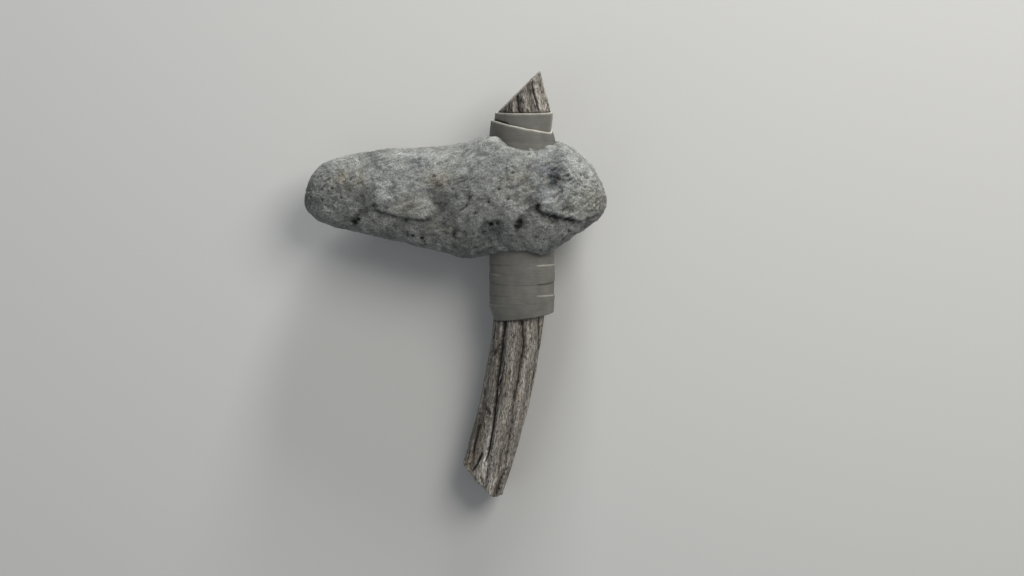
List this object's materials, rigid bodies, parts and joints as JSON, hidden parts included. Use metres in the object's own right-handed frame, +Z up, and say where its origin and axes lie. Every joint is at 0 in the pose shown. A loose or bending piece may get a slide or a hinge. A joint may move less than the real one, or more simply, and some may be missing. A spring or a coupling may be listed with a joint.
{
  "type": "stone axe",
  "caption": "Ancient stone axe: a bored boulder head on a bent branch haft, wedged with wound hide strip and lying on its back.",
  "frame": {"origin": "centre of the underside of the bounding box, on the surface that the axe lies on", "axes": "+Y from the butt of the haft to its tip, +X from the bit to the poll of the stone head, +Z up, out of the head's front face; the bore's axis rises 6.2 degrees above +Y, because the axe lies on the belly of its head and on its butt"},
  "size_m": [0.2108, 0.2978, 0.0763],
  "materials": {
    "boulder_stone": "rough, pitted grey boulder with blue-grey hollows and faint ochre stains",
    "weathered_branch": "weathered grey-brown branch with furrows and dark drying cracks",
    "hide_strip": "dry olive-grey hide strip with pale cut edges"
  },
  "bodies": {
    "root": {"stone_head": "boulder_stone", "haft": "weathered_branch", "upper_binding": "hide_strip", "lower_binding": "hide_strip"}
  },
  "joints": []
}
